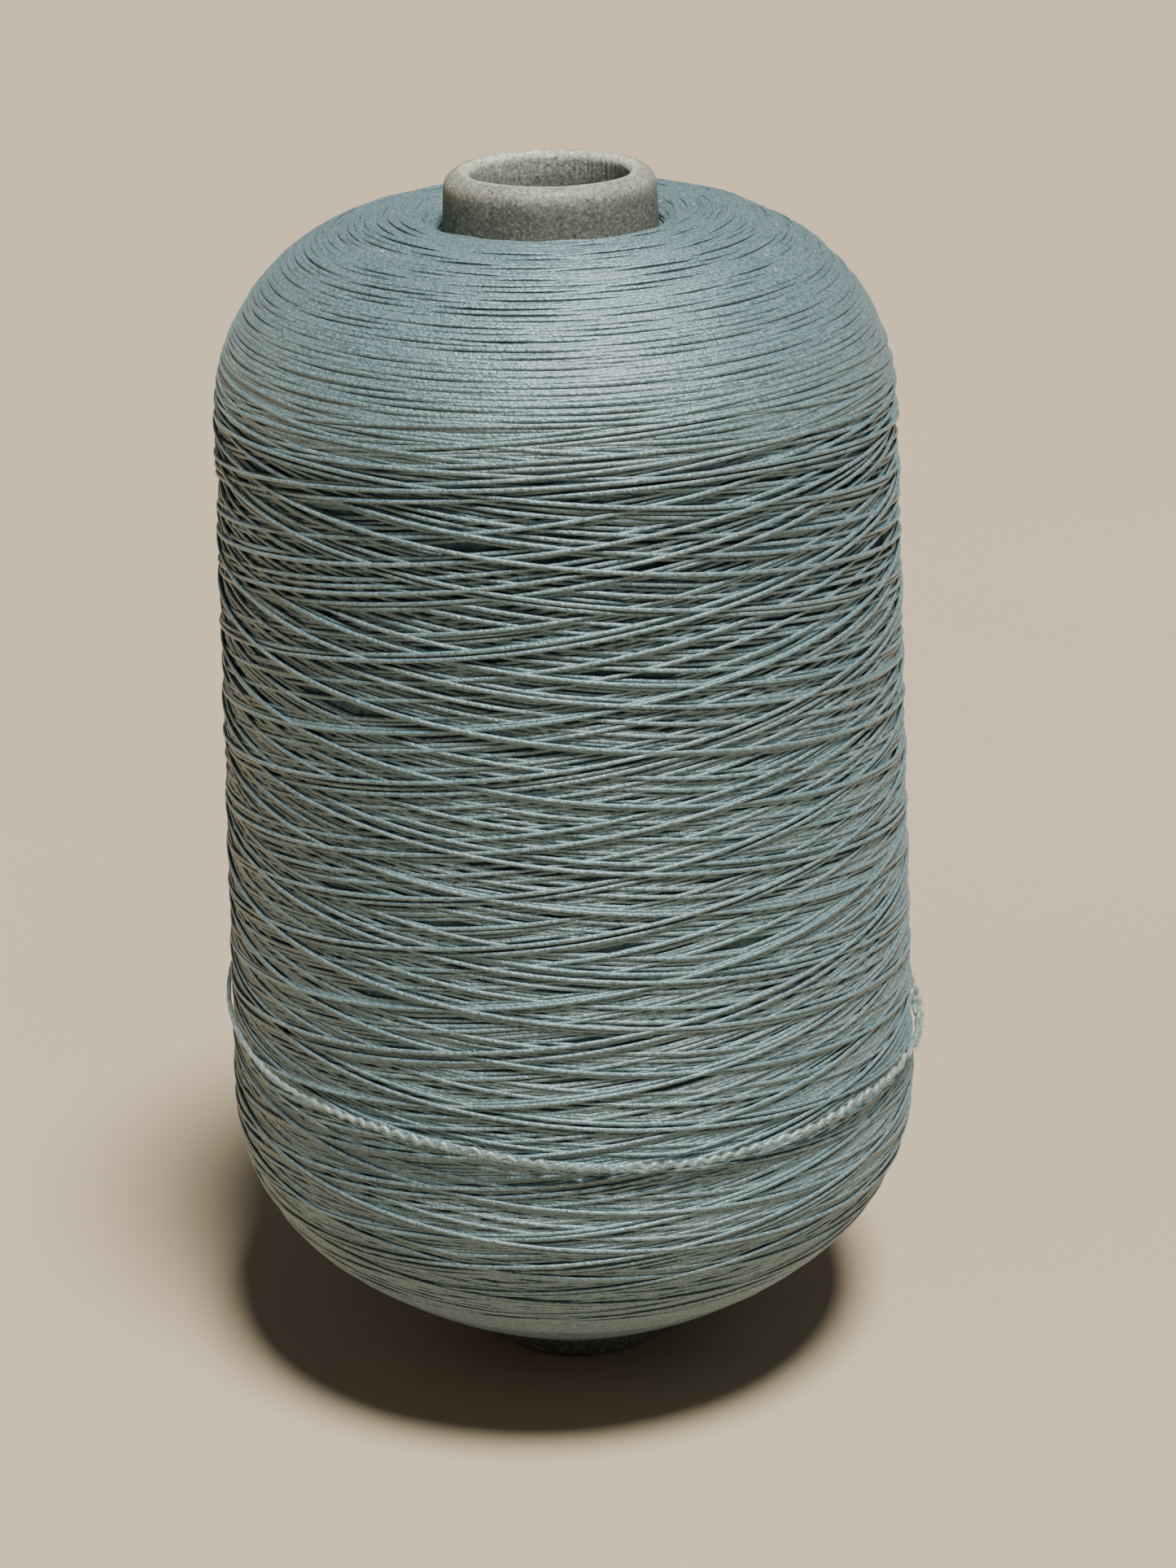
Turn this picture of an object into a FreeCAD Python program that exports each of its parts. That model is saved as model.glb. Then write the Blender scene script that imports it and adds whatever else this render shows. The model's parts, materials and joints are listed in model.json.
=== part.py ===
import FreeCAD, Part
import math
import os

# An industrial spool of textured sewing thread, standing on end: a cardboard tube with a
# rolled-in nose, the thread wound on it, and the thread's own loose end lying round the package.
# Millimetres, +Z up along the tube, origin at the centre of the tube's foot.

Vec = FreeCAD.Vector
os.makedirs("parts", exist_ok=True)

# ---- tube ------------------------------------------------------------------
tube_length = 175.0
tube_outer_diameter = 29.3
tube_wall = 2.2
foot_chamfer = 0.4          # the cut edge at the foot, eased on the outside and in the bore
nose_taper_length = 9.0     # the nose draws in over this length
nose_draw_in = 0.4          # by this much all round
nose_thickness = 3.45       # tube wall and turned-in lip together
nose_outer_round = 2.3
lip_depth = 6.0             # how far the lip is turned down inside the tube
lip_mouth_round = 1.1
lip_edge_round = 0.5

# ---- winding ---------------------------------------------------------------
foot_standout = 5.2         # bare tube below the winding
nose_standout = 5.7         # bare tube above the winding's highest ring
package_low_diameter = 100.4     # where the lower shoulder would meet the side, unrounded
package_high_diameter = 91.8     # where the side would meet the level of the highest ring
foot_ring_width = 4.35      # the flat ring round the tube at the bottom, unrounded
foot_slope = 32.2           # degrees that the winding rises outwards from that ring
belly_slope = 46.2          # degrees that it rises further out
belly_inset = 13.7          # the steeper part is this wide
foot_hole_round = 1.0
foot_ring_round = 12.0
belly_round = 60.0
shoulder_round = 26.0
crown_round = 27.2
nose_hole_round = 4.0       # the turns dip down to the tube round the nose

# ---- loose end -------------------------------------------------------------
thread_diameter = 1.2       # the relaxed thread is thicker than the wound thread
# (angle about the tube in degrees, distance from its axis, height)
# The first point is under the outer turns, where the loose end comes out of the winding.
loose_end_route = [
    (110, 48.9, 62.4),
    (126, 50.8, 61.5),
    (143, 50.7, 60.1),
    (162, 50.6, 58.6),
    (179, 50.6, 56.9),
    (197, 50.7, 55.6),
    (215, 51.1, 54.2),
    (234, 51.2, 54.0),
    (251, 51.1, 53.3),
    (268, 51.1, 50.9),
    (287, 51.2, 50.1),
    (305, 51.1, 49.9),
    (321, 51.1, 50.6),
    (338, 51.0, 49.8),
    (354, 50.9, 48.8),
    (371, 50.9, 49.2),
    (389, 51.0, 50.4),
    (406, 51.2, 50.1),
    (423, 51.3, 48.0),
    (441, 51.2, 46.9),
]


def rounded_outline(corners):
    """A closed wire in the XZ plane through (radius, height, round) corners.

    Two rounds that share a side are made smaller together where the side is too short for them.
    """
    count = len(corners)
    spots = [Vec(r, 0, z) for r, z, _ in corners]
    sides = [spots[(i + 1) % count] - spots[i] for i in range(count)]
    halves = [(math.pi - sides[i - 1].getAngle(sides[i])) / 2 for i in range(count)]
    reaches = [corners[i][2] / math.tan(halves[i]) for i in range(count)]
    room = [1.0] * count
    for i, side in enumerate(sides):
        following = (i + 1) % count
        wanted = reaches[i] + reaches[following]
        if wanted > side.Length:
            share = side.Length / wanted
            room[i] = min(room[i], share)
            room[following] = min(room[following], share)
    cuts = []
    for i, here in enumerate(spots):
        reach = reaches[i] * room[i]
        if reach == 0:
            cuts.append((here, None, here))
            continue
        back = (spots[i - 1] - here).normalize()
        ahead = (spots[(i + 1) % count] - here).normalize()
        radius = reach * math.tan(halves[i])
        middle = (back + ahead).normalize()
        inside = here + middle * (radius / math.sin(halves[i]) - radius)
        cuts.append((here + back * reach, inside, here + ahead * reach))
    edges = []
    for i, (start, inside, end) in enumerate(cuts):
        if inside is not None:
            edges.append(Part.Arc(start, inside, end).toShape())
        following = cuts[(i + 1) % count][0]
        if end.distanceToPoint(following) > 1e-6:
            edges.append(Part.LineSegment(end, following).toShape())
    return Part.Wire(edges)


def turned(corners):
    """The solid that the outline makes when it is turned once round the tube's axis."""
    face = Part.Face(rounded_outline(corners))
    return face.revolve(Vec(0, 0, 0), Vec(0, 0, 1), 360)


def paper_tube():
    """Cardboard tube, cut square at the foot, its top end rolled inwards into a thick nose."""
    outer = tube_outer_diameter / 2
    bore = outer - tube_wall
    nose = outer - nose_draw_in
    lip = nose - nose_thickness
    return turned([
        (bore + foot_chamfer, 0, 0),
        (outer - foot_chamfer, 0, 0),
        (outer, foot_chamfer, 0),
        (outer, tube_length - nose_taper_length, 0),
        (nose, tube_length, nose_outer_round),
        (lip, tube_length, lip_mouth_round),
        (lip, tube_length - lip_depth, lip_edge_round),
        (bore, tube_length - lip_depth, lip_edge_round),
        (bore, foot_chamfer, 0),
    ])


def thread_winding():
    """The wound thread as one closed ring on the tube, with its domed crown and rounded foot."""
    core = tube_outer_diameter / 2
    ring = core + foot_ring_width
    widest = package_low_diameter / 2
    belly = widest - belly_inset
    bottom = foot_standout
    belly_height = bottom + (belly - ring) * math.tan(math.radians(foot_slope))
    shoulder = belly_height + belly_inset * math.tan(math.radians(belly_slope))
    crest = tube_length - nose_standout
    return turned([
        (core, bottom, foot_hole_round),
        (ring, bottom, foot_ring_round),
        (belly, belly_height, belly_round),
        (widest, shoulder, shoulder_round),
        (package_high_diameter / 2, crest, crown_round),
        (core, crest, nose_hole_round),
    ])


def smooth_tube(points, diameter):
    """A round tube along straight runs joined by tangent arcs, and the radii of those arcs."""
    cuts = [(points[0], None, points[0])]
    radii = []
    for before, here, after in zip(points, points[1:], points[2:]):
        back = before - here
        ahead = after - here
        half_turn = (math.pi - back.getAngle(ahead)) / 2
        reach = 0.45 * min(back.Length, ahead.Length)
        radius = reach / math.tan(half_turn)
        radii.append(radius)
        back.normalize()
        ahead.normalize()
        middle = (back + ahead).normalize()
        inside = here + middle * (radius / math.cos(half_turn) - radius)
        cuts.append((here + back * reach, inside, here + ahead * reach))
    cuts.append((points[-1], None, points[-1]))
    edges = []
    for (_, _, end), (start, inside, arc_end) in zip(cuts, cuts[1:]):
        edges.append(Part.LineSegment(end, start).toShape())
        if inside is not None:
            edges.append(Part.Arc(start, inside, arc_end).toShape())
    path = Part.Wire(edges)
    section = Part.Wire(Part.Circle(points[0], points[1] - points[0], diameter / 2).toShape())
    tube = path.makePipeShell([section], True, False)
    return tube, path.Length, radii


def thread_tail():
    """The thread's loose end: it comes out of the winding, lies once round it and ends bare."""
    points = []
    for angle, radius, height in loose_end_route:
        turn = math.radians(angle)
        points.append(Vec(radius * math.cos(turn), radius * math.sin(turn), height))
    tube, length, radii = smooth_tube(points, thread_diameter)
    section_area = math.pi * thread_diameter ** 2 / 4
    print("thread_tail length %.1f mm" % length)
    print("thread_tail radii", " ".join("%.1f" % radius for radius in radii))
    print("thread_tail volume / (section x length) %.4f" % (tube.Volume / (section_area * length)))
    return tube


for name, shape in (
    ("paper_tube", paper_tube()),
    ("thread_winding", thread_winding()),
    ("thread_tail", thread_tail()),
):
    box = shape.BoundBox
    shape.exportStep("parts/%s.step" % name)
    print(name, shape.ShapeType, "valid", shape.isValid(), "volume %.0f mm3" % shape.Volume,
          "z %.2f to %.2f" % (box.ZMin, box.ZMax), "widest %.2f" % box.XLength)
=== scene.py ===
# %% [markdown]
# # A spool of textured sewing thread
#
# The object is a package of thread as a sewing factory buys it: a cardboard tube with a
# rolled-in nose, and on it some kilometres of one soft, textured thread, wound in crossing
# layers. The thread's loose end lies once round the package, relaxed and crimped.
#
# The CAD model gives every size. This script gives the looks, and builds three things:
# the loose end, the wound thread turn by turn, and the pressed cardboard of the tube.

# %% Load the frame
import json
import math
import bpy
import numpy as np
from mathutils import Matrix, Vector


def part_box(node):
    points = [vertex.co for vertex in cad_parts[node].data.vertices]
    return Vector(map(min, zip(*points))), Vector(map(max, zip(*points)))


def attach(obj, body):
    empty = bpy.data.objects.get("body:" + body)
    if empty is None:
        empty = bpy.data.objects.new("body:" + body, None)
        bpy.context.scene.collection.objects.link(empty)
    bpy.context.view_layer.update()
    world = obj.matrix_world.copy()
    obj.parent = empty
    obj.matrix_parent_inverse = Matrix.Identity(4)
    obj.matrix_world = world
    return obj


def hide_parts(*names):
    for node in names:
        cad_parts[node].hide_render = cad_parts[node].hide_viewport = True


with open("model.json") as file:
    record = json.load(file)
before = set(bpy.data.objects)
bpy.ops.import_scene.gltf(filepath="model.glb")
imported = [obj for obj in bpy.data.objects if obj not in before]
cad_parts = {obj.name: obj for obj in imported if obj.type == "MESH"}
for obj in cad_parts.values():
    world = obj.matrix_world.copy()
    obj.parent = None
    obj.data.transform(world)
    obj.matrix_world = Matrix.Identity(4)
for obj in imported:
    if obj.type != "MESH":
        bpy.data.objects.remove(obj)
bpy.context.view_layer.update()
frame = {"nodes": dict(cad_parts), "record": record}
mounts = {mount["name"]: mount for mount in frame["record"]["mounts"]}

# %% [markdown]
# ## Camera, light and floor
#
# The camera comes first, because a cord has to stay near what the camera sees. A package
# this size is looked at from arm's length with a longish lens, slightly from above.
# A broad sun, high in front and a little to the right, does most of the work: the turns show
# by the small shadows below each of them, and the crown by one soft streak of light. A warm
# lamp on the left and a cool one on the right, both weak, keep the edges from going black.
# Area lamps alone could do the same, but a sun lights foot and crown from one direction.

# %% Camera
CAMERA_DISTANCE = 0.4642
CAMERA_HEIGHT = 0.2724
CAMERA_ASIDE = 0.0031
CAMERA_TILT = math.radians(21.9)
CAMERA_ROLL = math.radians(1.45)
LENS_MM = 80.1

ahead = Vector((0, math.cos(CAMERA_TILT), -math.sin(CAMERA_TILT)))
level = Vector((1, 0, 0))
above = level.cross(ahead)
right = level * math.cos(CAMERA_ROLL) - above * math.sin(CAMERA_ROLL)
upward = level * math.sin(CAMERA_ROLL) + above * math.cos(CAMERA_ROLL)
camera = bpy.data.objects.new("camera", bpy.data.cameras.new("camera"))
camera.data.lens = LENS_MM
camera.data.sensor_width = 36.0
camera.data.clip_start = 0.01
camera.matrix_world = Matrix((right, upward, -ahead)).transposed().to_4x4()
camera.location = (CAMERA_ASIDE, -CAMERA_DISTANCE, CAMERA_HEIGHT)
bpy.context.scene.collection.objects.link(camera)
bpy.context.scene.camera = camera


# %% Lights, sky and floor
def lamp(name, kind, place, target, **settings):
    """A lamp at that place, turned so that it faces the target."""
    light = bpy.data.lights.new(name, kind)
    for key, value in settings.items():
        setattr(light, key, value)
    obj = bpy.data.objects.new(name, light)
    obj.location = place
    obj.rotation_euler = (Vector(target) - Vector(place)).to_track_quat("-Z", "Y").to_euler()
    bpy.context.scene.collection.objects.link(obj)
    return obj


middle = (0, 0, 0.09)
EDGE_LAMP_SIZE = 0.5
lamp("key_lamp", "SUN", (0.165, -0.31, 1.1), middle, energy=8.6, angle=math.radians(15),
     color=(0.98, 0.985, 0.93))
lamp("left_lamp", "AREA", (-0.9, 0.35, 0.10), middle, energy=1.0, size=EDGE_LAMP_SIZE,
     color=(1.0, 0.68, 0.34))
lamp("right_lamp", "AREA", (0.9, 0.10, 0.15), middle, energy=0.55, size=EDGE_LAMP_SIZE,
     color=(0.85, 0.95, 1.0))

world = bpy.data.worlds.new("studio")
world.use_nodes = True
sky = world.node_tree.nodes["Background"]
sky.inputs["Color"].default_value = (0.90, 0.95, 1.0, 1)
sky.inputs["Strength"].default_value = 0.12
bpy.context.scene.world = world

FLOOR_REACH = 3.0
floor_mesh = bpy.data.meshes.new("floor")
floor_mesh.from_pydata(
    [(x, y, 0) for x, y in ((-1, -1), (1, -1), (1, 1), (-1, 1))], [], [(0, 1, 2, 3)])
floor_mesh.transform(Matrix.Scale(FLOOR_REACH, 4))
floor = bpy.data.objects.new("floor", floor_mesh)
bpy.context.scene.collection.objects.link(floor)


# %% [markdown]
# ## Working with arrays
#
# Every surface here is a grid of points worked out by numpy in one go, and handed to
# Blender with `foreach_set`. Two helpers do that. The first makes a mesh object from
# corner indices; the second joins many closed tubes, such as turns of thread, into one
# mesh, with a UV map that runs along and around each tube, so that a finish can follow it.

# %% Meshes from arrays
def mesh_object(name, points, loops, sizes, uv=None, tone=None):
    """An object from points, the faces' corner indices in a row, and each face's corner count."""
    mesh = bpy.data.meshes.new(name)
    mesh.vertices.add(len(points))
    mesh.vertices.foreach_set("co", np.ascontiguousarray(points, np.float32).ravel())
    mesh.loops.add(len(loops))
    mesh.loops.foreach_set("vertex_index", loops.astype(np.int32))
    mesh.polygons.add(len(sizes))
    mesh.polygons.foreach_set("loop_start", (np.cumsum(sizes) - sizes).astype(np.int32))
    mesh.polygons.foreach_set("use_smooth", np.ones(len(sizes), bool))
    if uv is not None:
        mesh.uv_layers.new(name="UVMap").data.foreach_set("uv", uv.astype(np.float32).ravel())
    if tone is not None:
        mesh.attributes.new("tone", "FLOAT", "POINT").data.foreach_set(
            "value", tone.astype(np.float32))
    mesh.update(calc_edges=True)
    mesh.validate()
    obj = bpy.data.objects.new(name, mesh)
    bpy.context.scene.collection.objects.link(obj)
    return obj


def grid_object(name, points, closed_rows=False):
    """A surface from points[i, j]: j goes round and closes; i closes too if closed_rows is set."""
    rows, columns = points.shape[:2]
    i = np.arange(rows if closed_rows else rows - 1)[:, None]
    j = np.arange(columns)[None, :]
    after = (j + 1) % columns
    above_row = (i + 1) % rows
    quads = np.stack([i * columns + j, i * columns + after,
                      above_row * columns + after, above_row * columns + j], axis=-1)
    return mesh_object(name, points.reshape(-1, 3), quads.ravel(), np.full(quads[..., 0].size, 4))


def tubes_object(name, tubes, section):
    """Many closed tubes as one mesh.

    A tube is (centres, sideways, outward, half widths, half heights, lengths along it, tone).
    Ring point = centre + half width x cos(angle) x sideways + half height x sin(angle) x outward,
    for each angle in section. Each tube's two ends are closed by a flat face.
    """
    sides = len(section)
    around = np.arange(sides)
    after = (around + 1) % sides
    turn_share = np.append(section, section[0] + 2 * np.pi) / (2 * np.pi)
    points, loops, sizes, uvs, tones = [], [], [], [], []
    first = 0
    for centres, sideways, outward, wide, high, along, tone in tubes:
        count = len(centres)
        ring = (centres[:, None] + (wide[:, None] * np.cos(section))[..., None] * sideways[:, None]
                + (high[:, None] * np.sin(section))[..., None] * outward[:, None])
        points.append(ring.reshape(-1, 3))
        start = first + np.arange(count - 1)[:, None] * sides
        quads = np.stack([start + around, start + sides + around,
                          start + sides + after, start + after], axis=-1)
        here = np.repeat(along[:-1, None], sides, 1)
        ahead_of = np.repeat(along[1:, None], sides, 1)
        low = np.repeat(turn_share[None, :-1], count - 1, 0)
        top = np.repeat(turn_share[None, 1:], count - 1, 0)
        uv = np.stack([np.stack([here, low], -1), np.stack([ahead_of, low], -1),
                       np.stack([ahead_of, top], -1), np.stack([here, top], -1)], axis=2)
        last = first + (count - 1) * sides
        loops += [quads.ravel(), first + around, last + around[::-1]]
        sizes += [np.full(quads[..., 0].size, 4), [sides, sides]]
        uvs += [uv.reshape(-1, 2), np.stack([np.full(sides, along[0]), turn_share[:-1]], -1),
                np.stack([np.full(sides, along[-1]), turn_share[:-1][::-1]], -1)]
        tones.append(np.full(count * sides, tone))
        first += count * sides
    obj = mesh_object(name, np.concatenate(points), np.concatenate(loops), np.concatenate(sizes),
                      np.concatenate(uvs), np.concatenate(tones))
    print(name, len(tubes), "tubes,", int((np.concatenate(sizes) - 2).sum()), "triangles")
    return obj


def points_of(mesh):
    """A mesh's points as an array."""
    flat = np.empty(len(mesh.vertices) * 3, np.float32)
    mesh.vertices.foreach_get("co", flat)
    return flat.reshape(-1, 3).astype(float)


def blurred(values, reach):
    """A running average of values along their first axis, weighted by a bell that long each way."""
    reach = max(1, int(round(reach)))
    bell = np.exp(-0.5 * (np.arange(-2 * reach, 2 * reach + 1) / reach) ** 2)
    bell /= bell.sum()
    padded = np.pad(values, [(2 * reach, 2 * reach)] + [(0, 0)] * (values.ndim - 1), mode="edge")
    windows = np.lib.stride_tricks.sliding_window_view(padded, len(bell), axis=0)
    return windows @ bell


def lengths_along(points):
    """The distance from the first point to each point, along the line."""
    return np.concatenate([[0], np.cumsum(np.linalg.norm(np.diff(points, axis=0), axis=1))])


# %% [markdown]
# ## The loose end
#
# On the package the thread is stretched smooth. Let go, textured thread springs back: it
# gets shorter, thicker and crimped, like a tiny phone cord, and grows a halo of fine
# loops. The loose end comes out from under the outer turns at the back, lies once round
# the package near its foot, curls into small loops on the right, and ends cut.
#
# Its line is a smooth NURBS spline that follows the CAD cord's own route. A bevel on that
# spline would make an even cord at once, but this thread is uneven, so it is a tube of
# rings instead: kinks that come and go swing its middle from side to side, and its
# thickness swells towards the free end, which has relaxed the most.

# %% Route of the loose end
RING_STEP = 0.00013
# (angle about the tube in degrees, distance from its axis and height, in metres)
TAIL_ROUTE = [
    (110, 0.0489, 0.0624),
    (126, 0.0508, 0.0615),
    (143, 0.0507, 0.0601),
    (162, 0.0506, 0.0586),
    (179, 0.0506, 0.0569),
    (197, 0.0507, 0.0556),
    (215, 0.0511, 0.0542),
    (234, 0.0512, 0.0540),
    (251, 0.0511, 0.0533),
    (268, 0.0511, 0.0509),
    (287, 0.0512, 0.0501),
    (305, 0.0511, 0.0499),
    (321, 0.0511, 0.0506),
    (338, 0.0510, 0.0498),
    (354, 0.0509, 0.0488),
    (371, 0.0509, 0.0492),
    (389, 0.0510, 0.0504),
    (406, 0.0512, 0.0501),
    (423, 0.0513, 0.0480),
    (441, 0.0512, 0.0469),
]


def nurbs_line(points, samples_per_run=24):
    """Points along a NURBS curve of order 3 that has these points as its control points."""
    curve = bpy.data.curves.new("line", "CURVE")
    curve.dimensions = "3D"
    spline = curve.splines.new("NURBS")
    spline.points.add(len(points) - 1)
    for spot, place in zip(spline.points, points):
        spot.co = (*place, 1)
    spline.order_u = 3
    spline.use_endpoint_u = True
    spline.resolution_u = samples_per_run
    holder = bpy.data.objects.new("line", curve)
    mesh = bpy.data.meshes.new_from_object(holder)
    line = points_of(mesh)
    bpy.data.meshes.remove(mesh)
    bpy.data.curves.remove(curve)
    return line


def frame_along(line, outward):
    """Directions along a line, outwards at right angles to it, and sideways."""
    along = np.gradient(line, axis=0)
    along /= np.linalg.norm(along, axis=1)[:, None]
    outward = outward - along * (outward * along).sum(1)[:, None]
    outward /= np.linalg.norm(outward, axis=1)[:, None]
    return along, outward, np.cross(along, outward)


def evenly(line, step):
    """The line again, with points that far apart, and how far along it each one lies."""
    travelled = lengths_along(line)
    at = np.linspace(0, travelled[-1], int(travelled[-1] / step) + 1)
    return np.stack([np.interp(at, travelled, line[:, k]) for k in range(3)], axis=1), at


tail_points = [(distance * math.cos(math.radians(angle)), distance * math.sin(math.radians(angle)),
                height) for angle, distance, height in TAIL_ROUTE]
tail_line, tail_at = evenly(nurbs_line(tail_points), RING_STEP)
print("loose end", round(float(tail_at[-1]) * 1000, 1), "mm,", len(tail_line), "rings")

# %% Crimped thread
CRIMP_LENGTH = 0.0022       # one small kink to and fro
CRIMP_REACH = 0.0005        # how far it swings to each side
DRIFT_REACH = 0.0003        # how far the thread strays from its line besides
LOOP_LENGTH = 0.0034        # one turn of the loops that the free stretch curls into
LOOP_REACH = 0.0008
FREE_TURN = 373             # the middle of the stretch that curls, in degrees
FREE_SPREAD = 15            # and about half its width
SMOOTH_RADIUS = 0.00032     # where the thread is still taut
RELAXED_SWELL = 0.00009     # and what relaxing adds
CUT_RINGS = 10              # the cut end tapers over this many rings
rng = np.random.default_rng(7)


def wander(count, reach, generator):
    """Smooth chance: bell-blurred noise with values of about -1 to 1."""
    noise = blurred(generator.normal(size=count), reach)
    return noise / np.abs(noise).max()


# Nearly 0 where the thread is still smooth, 1 where it is fully crimped
relaxed = np.clip(tail_at / tail_at[-1] * 3.5 - 0.55, 0.12, 1)
_, tail_out, tail_side = frame_along(tail_line, tail_line * [1, 1, 0])
tail_turn = np.degrees(np.unwrap(np.arctan2(tail_line[:, 1], tail_line[:, 0])))
free = np.exp(-((tail_turn - FREE_TURN) / FREE_SPREAD) ** 2)
count = len(tail_at)
phase = 2 * np.pi * tail_at / CRIMP_LENGTH + 5.0 * wander(count, 24, rng)
kinked = relaxed * np.clip(0.5 + 1.1 * wander(count, 44, rng), 0.12, 1)
swing = CRIMP_REACH * kinked * np.arcsin(0.93 * np.sin(phase)) / 1.2
loop = 2 * np.pi * tail_at / LOOP_LENGTH + 3.0 * wander(count, 30, rng)
aside = swing + DRIFT_REACH * relaxed * wander(count, 26, rng) + LOOP_REACH * free * np.sin(loop)
raised = 0.5 * CRIMP_REACH * kinked * (1 + np.sin(phase * 0.5))
raised = raised + 0.6 * LOOP_REACH * free * (1 + np.cos(loop))
crimped = tail_line + tail_side * aside[:, None] + tail_out * raised[:, None]
_, crimped_out, crimped_side = frame_along(crimped, tail_out)
thick = (SMOOTH_RADIUS + RELAXED_SWELL * relaxed) * (1 + 0.12 * wander(count, 6, rng))
thick[-CUT_RINGS:] *= np.linspace(1, 0.35, CUT_RINGS)
tail = tubes_object(
    "loose_end", [(crimped, crimped_side, crimped_out, thick, thick, tail_at, 0.8)],
    np.linspace(0, 2 * np.pi, 12, endpoint=False))

# %% [markdown]
# ## The halo of the loose end
#
# Where the thread has relaxed, single filaments stand off it in low loops, which is why it
# looks soft and paler. Hair from a particle system could do it, but here each loop is a thin
# tube, so that it is part of the mesh wherever the model goes. The loops start at random
# places, more of them where the thread is crimped most.

# %% Filaments standing off the loose end
FILAMENTS = 700
FILAMENT_RADIUS = 0.000022
FILAMENT_RINGS = 10
FILAMENT_SPAN = (10, 34)                # the loop's foot to foot, counted in the thread's rings
FILAMENT_HEIGHT = (0.0001, 0.0007)
FILAMENT_FINISH_STEP = 0.0001           # length in the finish's map for each ring passed
FILAMENT_END_GAP = 40                   # none starts on the last rings before the cut


def filament_loops(line, side, out, radius, weight, count):
    """Fine filaments that leave the thread, stand off it in a low loop and come back.

    Distance from the thread's middle = its radius + loop height x sin(pi x share of the loop).
    """
    loops = []
    share = np.linspace(0, 1, FILAMENT_RINGS)
    at = np.arange(len(line))
    weight = weight[:-FILAMENT_END_GAP]
    starts = rng.choice(len(weight), size=count, p=weight / weight.sum())
    for start in starts:
        reach = rng.integers(*FILAMENT_SPAN)
        spot = start + share * reach
        centres, sideways, outward = (
            np.stack([np.interp(spot, at, field[:, k]) for k in range(3)], 1)
            for field in (line, side, out))
        bearing = rng.uniform(-0.3, np.pi + 0.3) + rng.uniform(-0.8, 0.8) * share
        away = sideways * np.cos(bearing)[:, None] + outward * np.sin(bearing)[:, None]
        high = rng.uniform(*FILAMENT_HEIGHT) * np.sin(np.pi * share)
        centres = centres + away * (0.9 * radius[start] + high)[:, None]
        _, outward, sideways = frame_along(centres, away)
        thin = np.full(FILAMENT_RINGS, FILAMENT_RADIUS)
        along = share * reach * FILAMENT_FINISH_STEP
        loops.append((centres, sideways, outward, thin, thin, along, rng.uniform()))
    return loops


tail_fuzz = tubes_object(
    "loose_end_filaments",
    filament_loops(crimped, crimped_side, crimped_out, thick, relaxed ** 2 + 3 * free, FILAMENTS),
    np.linspace(0, 2 * np.pi, 4, endpoint=False))

# %% [markdown]
# ## The package's outline
#
# The CAD winding is a turned ring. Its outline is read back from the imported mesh: every
# point's distance from the axis and height, put in order round a spot inside the ring.
# The part that lies on the tube is dropped, and the rest becomes one smooth line from the
# tube's foot, out over the lower shoulder, up the side and over the crown to the nose. The
# outline's sizes could be typed in again here, but read back they can't differ from the CAD's.

# %% Outline of the winding
OUTLINE_STEP = 0.0001
OUTLINE_BLUR = 12           # in steps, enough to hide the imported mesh's flat facets
RING_DEPTH = 0.012          # a spot this far outside the tube lies well inside the ring
TUBE_TOUCH = 0.00005        # points nearer to the tube than this lie on it
winding_low, winding_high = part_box("thread_winding")
tube_low, tube_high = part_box("paper_tube")
core_radius = (tube_high.x - tube_low.x) / 2

corners = points_of(frame["nodes"]["thread_winding"].data)
flat = np.stack([np.hypot(corners[:, 0], corners[:, 1]), corners[:, 2]], 1)
flat = np.unique(np.round(flat, 6), axis=0)
inside = np.array([core_radius + RING_DEPTH, (winding_low.z + winding_high.z) / 2])
bearing = np.arctan2(flat[:, 1] - inside[1], flat[:, 0] - inside[0])
flat = flat[np.argsort(bearing)]
flat = flat[flat[:, 0] > core_radius + TUBE_TOUCH]
travelled = lengths_along(flat)
outline_at = np.arange(0, travelled[-1], OUTLINE_STEP)
outline = np.stack([np.interp(outline_at, travelled, flat[:, k]) for k in range(2)], 1)
outline = blurred(outline, OUTLINE_BLUR)
slope = np.gradient(outline, axis=0)
slope /= np.linalg.norm(slope, axis=1)[:, None]
outline_normal = np.stack([slope[:, 1], -slope[:, 0]], 1)
outline_length = float(outline_at[-1])


def on_package(turn, along, lift):
    """Place on the package and its outward direction.

    turn is the angle about the tube, along the distance up the outline, lift the height over it.
    """
    radius, height, nr, nz = (np.interp(along, outline_at, column) for column in
                              (outline[:, 0], outline[:, 1], outline_normal[:, 0], outline_normal[:, 1]))
    radius = radius + lift * nr
    out = np.stack([nr * np.cos(turn), nr * np.sin(turn), nz], -1)
    return np.stack([radius * np.cos(turn), radius * np.sin(turn), height + lift * nz], -1), out


def along_at_height(height):
    """How far up the outline its outer side reaches that height."""
    return float(np.interp(height, outline[:, 1], outline_at))


print("outline", round(outline_length * 1000, 1), "mm, widest", round(outline[:, 0].max() * 1000, 2), "mm")

# %% [markdown]
# ## Laying the thread
#
# A winder lays one thread in long crossing helices, back and forth, while the package
# turns against a smooth drum that presses every turn level with the others. Drawn as plain
# helices the turns would cut through each other. So the work goes backwards in time: the
# turn laid last lies at the package's surface, and each earlier one as high as the later
# ones leave room for. A map holds the height of the free room at every place, and each
# pass is put under it in three steps:
#
# 1. try the pass at its place and a little to each side, and take the line with the most
#    room, because a thread slips off its neighbours into the next groove;
# 2. keep under the lowest thing above it, and run straight past what is only a short gap;
# 3. smooth it, and lower the map to its underside.
#
# Below the surface everything is pressed together, so that the deepest gap is only as deep
# as the relief given for that height: shallow on the foot, deepest under the crown's edge.
# A physics simulation of kilometres of thread would be truer and far too slow.

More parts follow.
